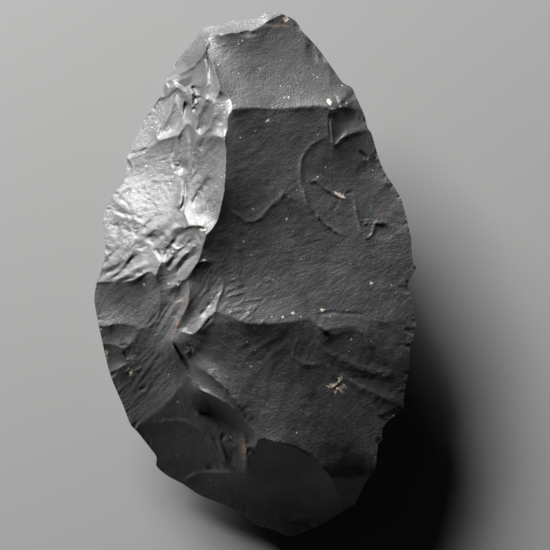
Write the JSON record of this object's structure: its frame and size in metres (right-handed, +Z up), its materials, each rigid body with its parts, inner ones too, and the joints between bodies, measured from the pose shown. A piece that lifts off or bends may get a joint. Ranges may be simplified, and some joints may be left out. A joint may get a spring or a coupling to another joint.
{
  "type": "stone hand axe",
  "caption": "Pointed oval stone hand axe, flaked on both faces, with a broad sloping face, a steep scarred flank, a notch by the butt and a thin wavy edge all round.",
  "frame": {"origin": "centre of the bounding box in plan, on the ground under the stone", "axes": "+Z up out of the face that is seen, +Y along the stone towards its tip, +X to the right of that face; the steep flank is on the -X side"},
  "size_m": [0.078, 0.1274, 0.035],
  "materials": {
    "flint": "satin to glossy black flint"
  },
  "bodies": {
    "root": {"hand_axe": "flint"}
  },
  "joints": []
}
